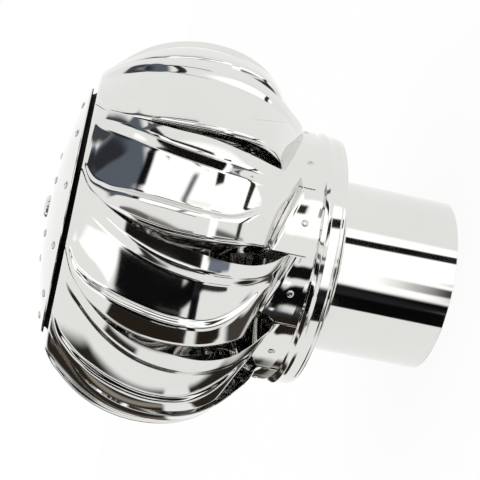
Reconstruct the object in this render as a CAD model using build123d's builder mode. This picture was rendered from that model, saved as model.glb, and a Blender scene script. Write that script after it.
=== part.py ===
from build123d import *
import os
from math import cos, radians, sin, sqrt, tan
from typing import NamedTuple

# Roof turbine ventilator: a fixed neck that slips over a flue or duct pipe carries an upright
# axle, and a rotor of twelve pressed blades hangs on it by two ball bearings.
# Frame: +Z up along the spin axis, origin at the centre of the neck's lower end, millimetres.

# ---- driving dimensions ----
NECK_RADIUS = 75.0  # outside of the 150 mm neck
NECK_WALL = 0.8
NECK_STRAIGHT = 110.0  # height of the plain pipe below its flare
STOP_BEAD_FOOT = 97.0  # raised bead that a duct sleeve comes up against
STOP_BEAD_RISE = 1.0
FLARE_RADIUS = 100.0
FLARE_TOP = 129.0
FLARE_RIM = 4.0  # upright rim at the top of the flare

RING_FOOT = 106.4  # lowest edge of the rotor's lower ring
RING_TOP = 147.0
RING_RADIUS = 108.2  # outside of the ring under the blade tabs
RING_SKIRT_RADIUS = 109.4  # outside of the ring below the tabs
RING_BEAD_HEIGHT = 121.5
RING_BEAD_RISE = 1.4
RING_BEAD_SPREAD = 3.1  # half the bead's height
RING_HEM_WIDTH = 4.0  # foot of the ring, rolled inwards
RING_HEM_SIDE = 2.6
SHEET = 0.8  # rotor sheet, hems and tabs

CAP_RIM_HEIGHT = 322.8
CAP_RADIUS = 105.5
CAP_CROWN = 338.0  # top of the dome
CAP_BENDS = (5.0, 38.0, 72.0, 104.0)  # radii where the spun dome's bands meet
HEM_THICKNESS = 2.2  # rim rolled back on itself
HEM_WIDTH = 3.0

BLADE_COUNT = 12
BLADE_PITCH = 360.0 / BLADE_COUNT
BLADE_SHEET = 1.0  # blade wall, measured level
LONGEST_GAP = 20.0  # between level cuts before one is added
LIP_DEEPEST = 20.0
LIP_LEAN = 4.4  # degrees that the deepest lip leans under the next blade
LIP_ROUND = 0.18  # share of the lip taken by its rounded turn
LIP_WALL = 1.0  # degrees between the lip's two faces, about the sheet's thickness
TAB_SPAN = 29.0  # degrees that each foot tab covers on the ring
TAB_EDGE_SLANT = 7.0  # degrees that the tab's lower edge leans
RING_RIVET_ANGLE = -15.2
RING_RIVET_HEIGHT = 139.0
CAP_RIVET_ANGLE = 11.8
CAP_RIVET_RADIUS = 92.0

AXLE_RADIUS = 6.0
AXLE_FOOT = 48.0
AXLE_TOP = 331.0
AXLE_CHAMFER = 1.0
COLLAR_RISE = 2.0  # collar that the lower bearing stands on
COLLAR_HEIGHT = 6.0
UPPER_STRAP_HEIGHT = 112.0  # top face of the upper strap
LOWER_STRAP_HEIGHT = 62.0  # top face of the lower strap's base
STRAP_WIDTH = 30.0
STRAP_THICKNESS = 2.0
STRAP_LEG = 2.7  # thickness of a leg at its middle, where it is rounded to the bore
UPPER_LEG_LENGTH = 16.0
STRAP_RIVET_HEIGHT = 104.0
STRAP_RIVET_LEAN = 5.5  # degrees each side of a strap's middle
NUT_HEIGHT = 8.0
NUT_HALF_WIDTH = 9.5
WASHER_HEIGHT = 1.6
WASHER_SIDE = 24.0  # square plate washers

BEARING_RADIUS = 16.0
BEARING_WIDTH = 10.0
INNER_RACE_RADIUS = 9.0
RACE_GAP = 0.4  # between an inner race and the shields around it
UPPER_BEARING_FOOT = 312.0
LOWER_BEARING_FOOT = 262.0
SPACER_RADIUS = 8.0
CIRCLIP_THICKNESS = 1.5
CIRCLIP_RISE = 2.5  # how far each circlip stands from its groove
HUB_WALL = 3.0
HUB_SHOULDER = 2.5  # step inside the hub between the two bearings
HUB_LIP = 4.0  # hub below the lower bearing, with the circlip's groove
HUB_FLANGE_THICKNESS = 2.0
HUB_FLANGE_RADIUS = 52.0
HUB_RIVET_RADIUS = 44.0
HUB_RIVET_COUNT = 6

RIVET_HEAD = 3.3
RIVET_HEAD_HEIGHT = 1.2
RIVET_HEAD_TAPER = 0.6
RIVET_SIDES = 8


class Station(NamedTuple):
    """One level cut through a blade: height and radius in mm, the angles in degrees where its
    free edge, shoulder, panel and lip stand, and how deep the panel and the lip are pressed."""

    height: float
    radius: float
    free_edge: float
    shoulder: float
    panel_start: float
    panel_end: float
    margin: float
    bend: float
    panel_depth: float
    lip_depth: float


BLADE_STATIONS = (
    Station(150.0, 122.5, 0.3, -4.0, -7.0, -9.5, -11.0, -28.7, 0.1, 2.5),
    Station(161.0, 135.2, -2.6, -6.6, -8.9, -10.6, -12.0, -28.4, 1.0, 8.0),
    Station(175.0, 147.2, -4.3, -8.3, -10.4, -16.0, -17.4, -28.0, 3.0, 13.0),
    Station(196.0, 158.5, -4.7, -8.9, -11.2, -21.4, -22.6, -28.6, 4.0, 18.0),
    Station(228.0, 164.0, -3.4, -8.2, -10.9, -22.7, -23.8, -29.2, 4.0, 20.0),
    Station(258.0, 159.6, -2.0, -6.0, -8.9, -21.8, -22.9, -28.8, 4.0, 19.0),
    Station(282.0, 149.6, 1.2, -2.4, -5.4, -20.8, -21.9, -26.9, 4.0, 15.0),
    Station(300.0, 136.4, 5.8, 2.2, -1.2, -19.4, -20.5, -23.6, 3.0, 10.0),
    Station(311.0, 126.0, 10.4, 6.0, 2.4, -16.0, -17.0, -18.6, 1.8, 5.0),
    Station(316.6, 118.0, 15.6, 9.2, 6.2, -10.4, -11.6, -13.2, 0.1, 2.6),
)


def on_circle(radius, angle):
    """Point in a level plane: angle 0 lies towards -Y and grows towards +X."""
    return radius * sin(radians(angle)), -radius * cos(radians(angle))


def sphere_height(radius):
    """Height of the sphere that the cap disc is spun to, at a distance from the axis."""
    rise = CAP_CROWN - CAP_RIM_HEIGHT
    sphere = (CAP_RADIUS**2 + rise**2) / (2 * rise)
    return CAP_CROWN - sphere + sqrt(sphere**2 - radius**2)


def dome_height(radius, drop=0.0):
    """Height of the cap disc's outer face, less drop: straight bands between its bends."""
    for inner, outer in zip(CAP_BENDS, CAP_BENDS[1:]):
        if radius <= outer:
            break
    share = (radius - inner) / (outer - inner)
    return sphere_height(inner) * (1 - share) + sphere_height(outer) * share - drop


def save(part, label):
    """Label a finished piece and write it to its own STEP file."""
    part.label = label
    export_step(part, f"parts/{label}.step")


def turned(part, count, label):
    """Write count copies of a piece, evenly turned about the axis, each as a node of its own."""
    for index in range(count):
        save(Rot(Z=index * 360.0 / count) * part, f"{label}_{index + 1:02d}")


def radial_plane(radius, angle, height):
    """Plane on an upright wall, its normal pointing away from the axis."""
    x, y = on_circle(radius, angle)
    return Plane(origin=(x, y, height), z_dir=(x, y, 0))


def dome_plane(radius, angle):
    """Plane on the cap disc's outer face, its normal square to the dome."""
    x, y = on_circle(radius, angle)
    fall = dome_height(radius) - dome_height(radius + 1)
    return Plane(origin=(x, y, dome_height(radius)), z_dir=(x * fall, y * fall, radius))


def rivet_heads(planes):
    """Pop rivet heads seated on the given planes, eight-sided to keep the repeats light."""
    with BuildPart() as group:
        for plane in planes:
            with BuildSketch(plane):
                RegularPolygon(RIVET_HEAD, RIVET_SIDES)
            with BuildSketch(plane.offset(RIVET_HEAD_HEIGHT)):
                RegularPolygon(RIVET_HEAD * RIVET_HEAD_TAPER, RIVET_SIDES)
            loft()
    return group.part


os.makedirs("parts", exist_ok=True)

# ---- fixed neck ----
with BuildPart() as neck_pipe:
    with BuildSketch(Plane.XZ):
        with BuildLine():
            inner = NECK_RADIUS - NECK_WALL
            Polyline(
                (inner, 0),
                (NECK_RADIUS, 0),
                (NECK_RADIUS, STOP_BEAD_FOOT),
                (NECK_RADIUS + STOP_BEAD_RISE, STOP_BEAD_FOOT + STOP_BEAD_RISE),
                (NECK_RADIUS, STOP_BEAD_FOOT + 2 * STOP_BEAD_RISE),
                (NECK_RADIUS, NECK_STRAIGHT),
                (FLARE_RADIUS, FLARE_TOP - FLARE_RIM),
                (FLARE_RADIUS, FLARE_TOP),
                (FLARE_RADIUS - NECK_WALL, FLARE_TOP),
                (FLARE_RADIUS - NECK_WALL, FLARE_TOP - FLARE_RIM + NECK_WALL / 2),
                (inner, NECK_STRAIGHT + NECK_WALL / 2),
                close=True,
            )
        make_face()
    revolve(axis=Axis.Z)
save(neck_pipe.part, "neck_pipe")


def strap(base_top, leg_foot, leg_top, turn):
    """Flat strap across the neck with both ends turned along the wall, seated in the bore."""
    leg_inside = NECK_RADIUS - NECK_WALL - STRAP_LEG
    outside = NECK_RADIUS  # trimmed back to the bore below
    with BuildPart() as piece:
        with BuildSketch(Plane.XY.offset(base_top)):
            Rectangle(2 * outside, STRAP_WIDTH)
        extrude(amount=-STRAP_THICKNESS)
        with BuildSketch(Plane.XY.offset(leg_foot)):
            for side in (-1, 1):
                with Locations((side * (leg_inside + outside) / 2, 0)):
                    Rectangle(outside - leg_inside, STRAP_WIDTH)
        extrude(amount=leg_top - leg_foot)
        with BuildSketch(Plane.XY):
            Circle(NECK_RADIUS - NECK_WALL)
        extrude(amount=leg_top + STRAP_THICKNESS, mode=Mode.INTERSECT)
        with Locations((0, 0, base_top)):
            Cylinder(AXLE_RADIUS, 4 * STRAP_THICKNESS, mode=Mode.SUBTRACT)
    return Rot(Z=turn) * piece.part


upper_leg_foot = UPPER_STRAP_HEIGHT - UPPER_LEG_LENGTH
upper_leg_top = UPPER_STRAP_HEIGHT - STRAP_THICKNESS / 2
save(strap(UPPER_STRAP_HEIGHT, upper_leg_foot, upper_leg_top, 0), "upper_strap")
lower_leg_foot = LOWER_STRAP_HEIGHT - STRAP_THICKNESS
save(strap(LOWER_STRAP_HEIGHT, lower_leg_foot, NECK_STRAIGHT, 90), "lower_strap")

strap_rivet_planes = [
    radial_plane(NECK_RADIUS, side + lean, STRAP_RIVET_HEIGHT)
    for side in (0, 90, 180, 270)
    for lean in (-STRAP_RIVET_LEAN, STRAP_RIVET_LEAN)
]
save(rivet_heads(strap_rivet_planes), "strap_rivets")

# ---- fixed axle and what clamps it ----
with BuildPart() as axle:
    with BuildSketch(Plane.XZ):
        with BuildLine():
            Polyline(
                (0, AXLE_FOOT),
                (AXLE_RADIUS - AXLE_CHAMFER, AXLE_FOOT),
                (AXLE_RADIUS, AXLE_FOOT + AXLE_CHAMFER),
                (AXLE_RADIUS, LOWER_BEARING_FOOT - COLLAR_HEIGHT),
                (AXLE_RADIUS + COLLAR_RISE, LOWER_BEARING_FOOT - COLLAR_HEIGHT),
                (AXLE_RADIUS + COLLAR_RISE, LOWER_BEARING_FOOT),
                (AXLE_RADIUS, LOWER_BEARING_FOOT),
                (AXLE_RADIUS, AXLE_TOP - AXLE_CHAMFER),
                (AXLE_RADIUS - AXLE_CHAMFER, AXLE_TOP),
                (0, AXLE_TOP),
                close=True,
            )
        make_face()
    revolve(axis=Axis.Z)
save(axle.part, "axle")

washer_feet = (
    LOWER_STRAP_HEIGHT - STRAP_THICKNESS - WASHER_HEIGHT,
    LOWER_STRAP_HEIGHT,
    UPPER_STRAP_HEIGHT - STRAP_THICKNESS - WASHER_HEIGHT,
    UPPER_STRAP_HEIGHT,
)
nut_feet = (
    washer_feet[0] - NUT_HEIGHT,
    washer_feet[1] + WASHER_HEIGHT,
    washer_feet[2] - NUT_HEIGHT,
    washer_feet[3] + WASHER_HEIGHT,
)
with BuildPart() as axle_washers:
    for foot in washer_feet:
        with BuildSketch(Plane.XY.offset(foot)):
            Rectangle(WASHER_SIDE, WASHER_SIDE)
            Circle(AXLE_RADIUS, mode=Mode.SUBTRACT)
        extrude(amount=WASHER_HEIGHT)
save(axle_washers.part, "axle_washers")

with BuildPart() as axle_nuts:
    for foot in nut_feet:
        with BuildSketch(Plane.XY.offset(foot)):
            RegularPolygon(NUT_HALF_WIDTH, 6, major_radius=False)
            Circle(AXLE_RADIUS, mode=Mode.SUBTRACT)
        extrude(amount=NUT_HEIGHT)
save(axle_nuts.part, "axle_nuts")


def tube(foot, height, outer, inner):
    """Upright ring or sleeve about the axis."""
    with BuildPart() as piece:
        with BuildSketch(Plane.XY.offset(foot)):
            Circle(outer)
            Circle(inner, mode=Mode.SUBTRACT)
        extrude(amount=height)
    return piece.part


for name, foot in (("upper", UPPER_BEARING_FOOT), ("lower", LOWER_BEARING_FOOT)):
    save(tube(foot, BEARING_WIDTH, INNER_RACE_RADIUS, AXLE_RADIUS), f"{name}_inner_race")
    save(
        tube(foot, BEARING_WIDTH, BEARING_RADIUS, INNER_RACE_RADIUS + RACE_GAP),
        f"{name}_outer_race",
    )
spacer_foot = LOWER_BEARING_FOOT + BEARING_WIDTH
spacer_length = UPPER_BEARING_FOOT - spacer_foot
save(tube(spacer_foot, spacer_length, SPACER_RADIUS, AXLE_RADIUS), "race_spacer")
clip_foot = UPPER_BEARING_FOOT + BEARING_WIDTH
clip_radius = AXLE_RADIUS + CIRCLIP_RISE
save(tube(clip_foot, CIRCLIP_THICKNESS, clip_radius, AXLE_RADIUS), "axle_circlip")

# ---- rotor: bearing hub, cap disc and its centre plug ----
hub_outside = BEARING_RADIUS + HUB_WALL
hub_shoulder = BEARING_RADIUS - HUB_SHOULDER
hub_foot = LOWER_BEARING_FOOT - HUB_LIP
flange_top = dome_height(HUB_FLANGE_RADIUS, SHEET)
with BuildPart() as bearing_hub:
    with BuildSketch(Plane.XZ):
        with BuildLine():
            Polyline(
                (BEARING_RADIUS, hub_foot),
                (hub_outside, hub_foot),
                (hub_outside, flange_top - 2 * HUB_FLANGE_THICKNESS),
                (hub_outside + 2 * HUB_FLANGE_THICKNESS, flange_top),
                (HUB_FLANGE_RADIUS, flange_top - HUB_FLANGE_THICKNESS),
                (HUB_FLANGE_RADIUS, flange_top),
                (CAP_BENDS[1], dome_height(CAP_BENDS[1], SHEET)),
                (BEARING_RADIUS, dome_height(BEARING_RADIUS, SHEET)),
                (BEARING_RADIUS, UPPER_BEARING_FOOT),
                (hub_shoulder, UPPER_BEARING_FOOT),
                (hub_shoulder, spacer_foot),
                (BEARING_RADIUS, spacer_foot),
                close=True,
            )
        make_face()
    revolve(axis=Axis.Z)
save(bearing_hub.part, "bearing_hub")
hub_clip_foot = LOWER_BEARING_FOOT - CIRCLIP_THICKNESS
hub_clip_bore = BEARING_RADIUS - CIRCLIP_RISE
save(tube(hub_clip_foot, CIRCLIP_THICKNESS, BEARING_RADIUS, hub_clip_bore), "hub_circlip")

with BuildPart() as cap_disc:
    with BuildSketch(Plane.XZ):
        with BuildLine():
            hem_inside = CAP_RADIUS - HEM_WIDTH
            hem_foot = CAP_RIM_HEIGHT - HEM_THICKNESS
            Polyline(
                *[(radius, dome_height(radius)) for radius in CAP_BENDS],
                (CAP_RADIUS, CAP_RIM_HEIGHT - HEM_THICKNESS / 2),
                (CAP_BENDS[-1], hem_foot + 0.2 * HEM_THICKNESS),
                (hem_inside, hem_foot + 0.4 * HEM_THICKNESS),
                (hem_inside, dome_height(hem_inside, SHEET)),
                *[(radius, dome_height(radius, SHEET)) for radius in reversed(CAP_BENDS[:-1])],
                close=True,
            )
        make_face()
    revolve(axis=Axis.Z)
save(cap_disc.part, "cap_disc")

PLUG_HOLE = CAP_BENDS[0]
PLUG_BRIM = 9.5
PLUG_EDGE = 1.2  # height of the plug's edge above the disc
PLUG_RISE = 3.9
PLUG_STEM = 3.0
PLUG_PIT = 2.2  # mouth of the pit in the plug's crown
PLUG_PIT_DEPTH = 1.3
with BuildPart() as hub_cap:
    with BuildSketch(Plane.XZ):
        with BuildLine():
            brim = dome_height(PLUG_HOLE)
            Polyline(
                (0, brim - PLUG_STEM),
                (PLUG_HOLE, brim - PLUG_STEM),
                (PLUG_HOLE, brim),
                (PLUG_BRIM, brim),
                (PLUG_BRIM, brim + PLUG_EDGE),
                (PLUG_BRIM * 0.75, brim + PLUG_RISE * 0.8),
                (PLUG_PIT, brim + PLUG_RISE),
                (PLUG_PIT, brim + PLUG_RISE - PLUG_PIT_DEPTH),
                (0, brim + PLUG_RISE - PLUG_PIT_DEPTH),
                close=True,
            )
        make_face()
    revolve(axis=Axis.Z)
save(hub_cap.part, "hub_cap")

# ---- rotor: lower ring ----
bead_radius = RING_SKIRT_RADIUS + RING_BEAD_RISE
bead_top = RING_BEAD_HEIGHT + RING_BEAD_SPREAD
step = RING_SKIRT_RADIUS - RING_RADIUS
hem_top = RING_FOOT + RING_HEM_SIDE
with BuildPart() as lower_ring:
    with BuildSketch(Plane.XZ):
        with BuildLine():
            Polyline(
                (RING_RADIUS - SHEET, RING_TOP),
                (RING_RADIUS, RING_TOP),
                (RING_RADIUS, bead_top + step),
                (RING_SKIRT_RADIUS, bead_top),
                (bead_radius, RING_BEAD_HEIGHT),
                (RING_SKIRT_RADIUS, RING_BEAD_HEIGHT - RING_BEAD_SPREAD),
                (RING_SKIRT_RADIUS, hem_top + 2 * step),
                (RING_SKIRT_RADIUS - step, RING_FOOT + SHEET),
                (RING_SKIRT_RADIUS - 2 * step, RING_FOOT),
                (RING_SKIRT_RADIUS - RING_HEM_WIDTH, RING_FOOT + SHEET),
                (RING_SKIRT_RADIUS - RING_HEM_WIDTH, hem_top),
                (RING_SKIRT_RADIUS - SHEET, hem_top + 3 * step - SHEET),
                (RING_SKIRT_RADIUS - SHEET, RING_BEAD_HEIGHT - RING_BEAD_SPREAD),
                (bead_radius - SHEET, RING_BEAD_HEIGHT),
                (RING_RADIUS - SHEET, bead_top + step),
                close=True,
            )
        make_face()
    revolve(axis=Axis.Z)
save(lower_ring.part, "lower_ring")


# ---- rotor: one blade, turned into twelve ----
def blade_outline(station):
    """Closed outline of a level cut: along the outer face to the lip, and back inside."""
    deep = station.radius - station.panel_depth
    shell = [
        (station.radius, station.free_edge),
        (station.radius, station.shoulder),
        (deep, station.panel_start),
        (deep, station.panel_end),
        (station.radius, station.margin),
        (station.radius, station.bend),
    ]
    lip_turn = -LIP_LEAN * (station.lip_depth / LIP_DEEPEST) ** 0.75
    lip = [
        (station.radius - LIP_ROUND * station.lip_depth, station.bend + LIP_ROUND * lip_turn),
        (station.radius - station.lip_depth, station.bend + lip_turn),
    ]
    lip_inside = [(radius, angle + LIP_WALL) for radius, angle in reversed(lip)]
    shell_inside = [(radius - BLADE_SHEET, angle) for radius, angle in reversed(shell[:5])]
    return [on_circle(*point) for point in shell + lip + lip_inside + shell_inside]


def finer(stations):
    """The stations with one more level inside each long gap, on a smooth curve through four."""
    levels = list(stations)
    for index in range(len(stations) - 3, 0, -1):
        four = stations[index - 1 : index + 3]
        if four[2].height - four[1].height > LONGEST_GAP:
            middle = [(9 * (b + c) - a - d) / 16 for a, b, c, d in zip(*four)]
            levels.insert(index + 1, Station(*middle))
    return levels


def blade_skin(stations):
    """Solid through the level cuts: flat three-cornered facets join each cut to the next."""
    cuts = []
    for station in stations:
        cuts.append([Vector(x, y, station.height) for x, y in blade_outline(station)])
    facets = [Face(Wire.make_polygon(cuts[0])), Face(Wire.make_polygon(cuts[-1]))]
    for low, high in zip(cuts, cuts[1:]):
        for index in range(len(low)):
            corner = low[index - 1]
            facets.append(Face(Wire.make_polygon([corner, low[index], high[index]])))
            facets.append(Face(Wire.make_polygon([corner, high[index], high[index - 1]])))
    return Solid(Shell(facets))


def swept_strip(outline, start_angle, span):
    """Sheet strip whose radial outline is turned about the axis from start_angle by span."""
    radial = Vector(*on_circle(1, start_angle), 0)
    with BuildPart() as strip:
        with BuildSketch(Plane(origin=(0, 0, 0), x_dir=radial, z_dir=radial.cross(Vector(0, 0, 1)))):
            with BuildLine():
                Polyline(*outline, close=True)
            make_face()
        revolve(axis=Axis.Z, revolution_arc=span)
    return strip.part


FOOT = BLADE_STATIONS[0]
HEAD = BLADE_STATIONS[-1]
TAB_RADIUS = RING_RADIUS + SHEET
TAB_TOP = 142.6  # where the foot tab leaves the ring
TAB_FOOT = 124.5  # its strip before the slanted edge is cut
TAB_EDGE_HEIGHT = 130.3  # middle of that edge
HEAD_TAB_RISE = 101.5  # where the head tab turns up to the disc, clear of its hem
HEAD_TAB_END = 82.0
HEAD_TAB_SEAT = 98.0  # from here inwards the head tab lies against the disc
foot_tab = swept_strip(
    [
        (TAB_RADIUS, TAB_FOOT),
        (TAB_RADIUS, TAB_TOP),
        (FOOT.radius + 0.4, FOOT.height + 0.7),
        (FOOT.radius - 1.2, FOOT.height + 0.9),
        (RING_RADIUS, TAB_TOP + 0.6),
        (RING_RADIUS, TAB_FOOT),
    ],
    FOOT.bend,
    TAB_SPAN,
)
head_tab = swept_strip(
    [
        (HEAD.radius, HEAD.height - 0.8),
        (HEAD.radius, HEAD.height + 0.1),
        (HEAD_TAB_RISE + 1.0, HEAD.height + 0.1),
        (HEAD_TAB_SEAT, dome_height(HEAD_TAB_SEAT, SHEET)),
        (HEAD_TAB_END, dome_height(HEAD_TAB_END, SHEET)),
        (HEAD_TAB_END, dome_height(HEAD_TAB_END, 2 * SHEET)),
        (HEAD_TAB_SEAT - 0.8, dome_height(HEAD_TAB_SEAT, 2 * SHEET)),
        (HEAD_TAB_RISE, HEAD.height - 0.8),
    ],
    HEAD.bend,
    HEAD.free_edge - HEAD.bend,
)
tab_middle = FOOT.bend + TAB_SPAN / 2
along_edge = Vector(*on_circle(1, tab_middle + 90), 0)
tab_edge = Plane(
    origin=(*on_circle(TAB_RADIUS, tab_middle), TAB_EDGE_HEIGHT),
    z_dir=along_edge * tan(radians(TAB_EDGE_SLANT)) + Vector(0, 0, 1),
)
with BuildPart() as blade:
    add(blade_skin(finer(BLADE_STATIONS)))
    add(foot_tab)
    add(head_tab)
    split(bisect_by=tab_edge, keep=Keep.TOP)
turned(blade.part, BLADE_COUNT, "blade")

# ---- rotor: rivet heads ----
blade_turns = [index * BLADE_PITCH for index in range(BLADE_COUNT)]
ring_rivet_planes = [
    radial_plane(TAB_RADIUS, RING_RIVET_ANGLE + turn, RING_RIVET_HEIGHT) for turn in blade_turns
]
save(rivet_heads(ring_rivet_planes), "ring_rivets")
cap_rivet_planes = [dome_plane(CAP_RIVET_RADIUS, CAP_RIVET_ANGLE + turn) for turn in blade_turns]
save(rivet_heads(cap_rivet_planes), "cap_rivets")
hub_rivet_planes = [
    dome_plane(HUB_RIVET_RADIUS, (index + 0.5) * 360.0 / HUB_RIVET_COUNT)
    for index in range(HUB_RIVET_COUNT)
]
save(rivet_heads(hub_rivet_planes), "hub_rivets")
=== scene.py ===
"""Roof turbine ventilator: the dressed model of a wind-driven flue cowl in stainless steel.

The rotor's pressed blades, domed disc and spun lower ring, and the plain neck below them, are
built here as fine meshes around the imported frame. Lengths in the class fields are millimetres
unless a comment says otherwise, and meshes are written in metres.
"""

from __future__ import annotations

import logging
import math
import random
from dataclasses import dataclass
from enum import Enum
from functools import partial
from typing import Any, Callable, Sequence

import bpy
import numpy as np
from mathutils import Matrix, Vector


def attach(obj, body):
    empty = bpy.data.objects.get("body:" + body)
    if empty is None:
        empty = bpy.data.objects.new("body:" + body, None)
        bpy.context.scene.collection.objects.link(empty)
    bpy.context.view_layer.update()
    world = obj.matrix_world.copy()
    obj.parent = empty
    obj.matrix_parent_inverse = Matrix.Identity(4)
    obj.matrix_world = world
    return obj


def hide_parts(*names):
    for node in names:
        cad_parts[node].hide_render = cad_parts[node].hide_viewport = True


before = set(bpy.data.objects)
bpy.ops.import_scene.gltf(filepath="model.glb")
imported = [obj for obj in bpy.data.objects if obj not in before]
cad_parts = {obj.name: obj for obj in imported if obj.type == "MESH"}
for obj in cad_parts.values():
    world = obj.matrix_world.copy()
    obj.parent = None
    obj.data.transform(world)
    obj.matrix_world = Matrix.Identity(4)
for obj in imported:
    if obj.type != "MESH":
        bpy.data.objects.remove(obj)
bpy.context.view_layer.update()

LOG = logging.getLogger("ventilator")
MM = 0.001
BLADE_COUNT = 12
PITCH = 360.0 / BLADE_COUNT  # degrees from blade to blade
SHARP_FOLD = 38.0  # degrees between faces from which a fold keeps its edge
FILLET_SHARE = 0.48  # most of a side that one fillet may take
ON_AXIS = 1e-6  # millimetres from the axis that still count as on it

# Socket numbers of a Mix node that mixes colours.
MIX_A, MIX_B, MIX_RESULT = 6, 7, 2

# The tent's fabric as the steel mirrors it, and the bright cards hung in it.
TENT_WHITE, TENT_LEVEL = "#F3F4F4", 1.18
CARD_WHITE, CARD_LEVEL = "#FFFFFF", 1.5

Grid = np.ndarray
Profile = list[tuple[float, float]]
Faces = list[tuple[int, ...]]
Seat = Callable[[float], tuple[Vector, Vector]]  # from an angle to a place and its outward way
Material = bpy.types.Material
Socket = bpy.types.NodeSocket


# ---------------- helpers


def linear(hex_colour: str) -> tuple[float, float, float, float]:
    """Turn an sRGB hex colour into linear RGBA.

    Args:
        hex_colour: six hex digits, with or without a leading hash.

    Returns:
        Red, green, blue and an alpha of 1.
    """
    digits = hex_colour.lstrip("#")
    channels = []
    for start in (0, 2, 4):
        value = int(digits[start : start + 2], 16) / 255
        channels.append(value / 12.92 if value <= 0.04045 else ((value + 0.055) / 1.055) ** 2.4)
    return channels[0], channels[1], channels[2], 1.0


def lit(hex_colour: str, level: float) -> tuple[float, float, float, float]:
    """Linear RGBA of a colour lit to a level, where 1 is white paper."""
    red, green, blue, alpha = linear(hex_colour)
    return red * level, green * level, blue * level, alpha


def add_node(
    tree: bpy.types.NodeTree,
    kind: str,
    links: dict[Any, Socket] | None = None,
    values: dict[Any, Any] | None = None,
    **settings: Any,
) -> bpy.types.Node:
    """Add one shader node.

    Args:
        tree: node tree that takes it.
        kind: Blender's node type name.
        links: input name or number to the socket that feeds it.
        values: input name or number to its fixed value.
        settings: attributes of the node itself.

    Returns:
        The new node.
    """
    made = tree.nodes.new(kind)
    for key, value in settings.items():
        setattr(made, key, value)
    for key, value in (values or {}).items():
        made.inputs[key].default_value = value
    for key, socket in (links or {}).items():
        tree.links.new(socket, made.inputs[key])
    return made


def on_circle(radius: float, angle: float) -> tuple[float, float]:
    """Point in a level plane; angle 0 lies towards -Y and grows towards +X, in degrees."""
    return radius * math.sin(math.radians(angle)), -radius * math.cos(math.radians(angle))


def swung(first: Vector, second: Vector, degrees: float) -> tuple[Vector, Vector]:
    """Turn two square directions in their own plane, the second towards the first."""
    cos, sin = math.cos(math.radians(degrees)), math.sin(math.radians(degrees))
    return first * cos - second * sin, first * sin + second * cos


def through(stations: Sequence[float], values: Sequence[float], at: Grid) -> Grid:
    """Smooth curve through stations, flat beyond its ends.

    Args:
        stations: rising positions.
        values: value at each position.
        at: positions to read.

    Returns:
        The curve's value at each position.
    """
    x = np.asarray(stations, float)
    y = np.asarray(values, float)
    slope = np.gradient(y, x)
    here = np.clip(at, x[0], x[-1])
    left = np.clip(np.searchsorted(x, here, side="right") - 1, 0, len(x) - 2)
    width = x[left + 1] - x[left]
    t = (here - x[left]) / width
    return (
        (2 * t**3 - 3 * t**2 + 1) * y[left]
        + (t**3 - 2 * t**2 + t) * width * slope[left]
        + (3 * t**2 - 2 * t**3) * y[left + 1]
        + (t**3 - t**2) * width * slope[left + 1]
    )


def new_object(name: str, points: Grid, faces: Faces, material: Material) -> bpy.types.Object:
    """Make a smooth-shaded mesh object whose folds stay sharp.

    Args:
        name: the piece's name.
        points: corner positions in millimetres.
        faces: corner numbers of each face, anticlockwise from outside.
        material: its finish.

    Returns:
        The new object, linked to the scene.
    """
    mesh = bpy.data.meshes.new(name)
    mesh.from_pydata((points * MM).tolist(), [], faces)
    mesh.validate()
    mesh.polygons.foreach_set("use_smooth", [True] * len(mesh.polygons))
    mesh.set_sharp_from_angle(angle=math.radians(SHARP_FOLD))
    mesh.materials.append(material)
    made = bpy.data.objects.new(name, mesh)
    bpy.context.scene.collection.objects.link(made)
    return made


def grid_faces(rows: int, columns: int, first: int, flip: bool) -> Faces:
    """Lay quads over a grid of corners.

    Args:
        rows: rows of corners.
        columns: corners in each row.
        first: number of the first corner; the rest follow row by row.
        flip: whether the quads face the other way.

    Returns:
        Corner numbers of each quad.
    """
    faces = []
    for row in range(rows - 1):
        for column in range(columns - 1):
            a = first + row * columns + column
            quad = (a, a + 1, a + columns + 1, a + columns)
            faces.append(quad[::-1] if flip else quad)
    return faces


def sheet_object(name: str, outer: Grid, thickness: float, material: Material) -> bpy.types.Object:
    """Make a closed sheet of even thickness from the grid of its outer face.

    Args:
        name: the piece's name.
        outer: rows by columns by 3 corner positions, laid so that a step to the next
            column crossed with a step to the next row points outwards.
        thickness: sheet thickness in millimetres.
        material: its finish.

    Returns:
        The new object.
    """
    rows, columns, _ = outer.shape
    along = np.gradient(outer, axis=0)
    across = np.gradient(outer, axis=1)
    normal = np.cross(across, along)
    normal /= np.linalg.norm(normal, axis=2, keepdims=True)
    inner = outer - normal * thickness
    points = np.concatenate([outer.reshape(-1, 3), inner.reshape(-1, 3)])
    size = rows * columns
    faces = grid_faces(rows, columns, 0, False) + grid_faces(rows, columns, size, True)
    rim = list(range(columns))
    rim += [row * columns + columns - 1 for row in range(1, rows)]
    rim += [(rows - 1) * columns + column for column in range(columns - 2, -1, -1)]
    rim += [row * columns for row in range(rows - 2, 0, -1)]
    for a, b in zip(rim, rim[1:] + rim[:1]):
        faces.append((b, a, a + size, b + size))
    return new_object(name, points, faces, material)


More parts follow.
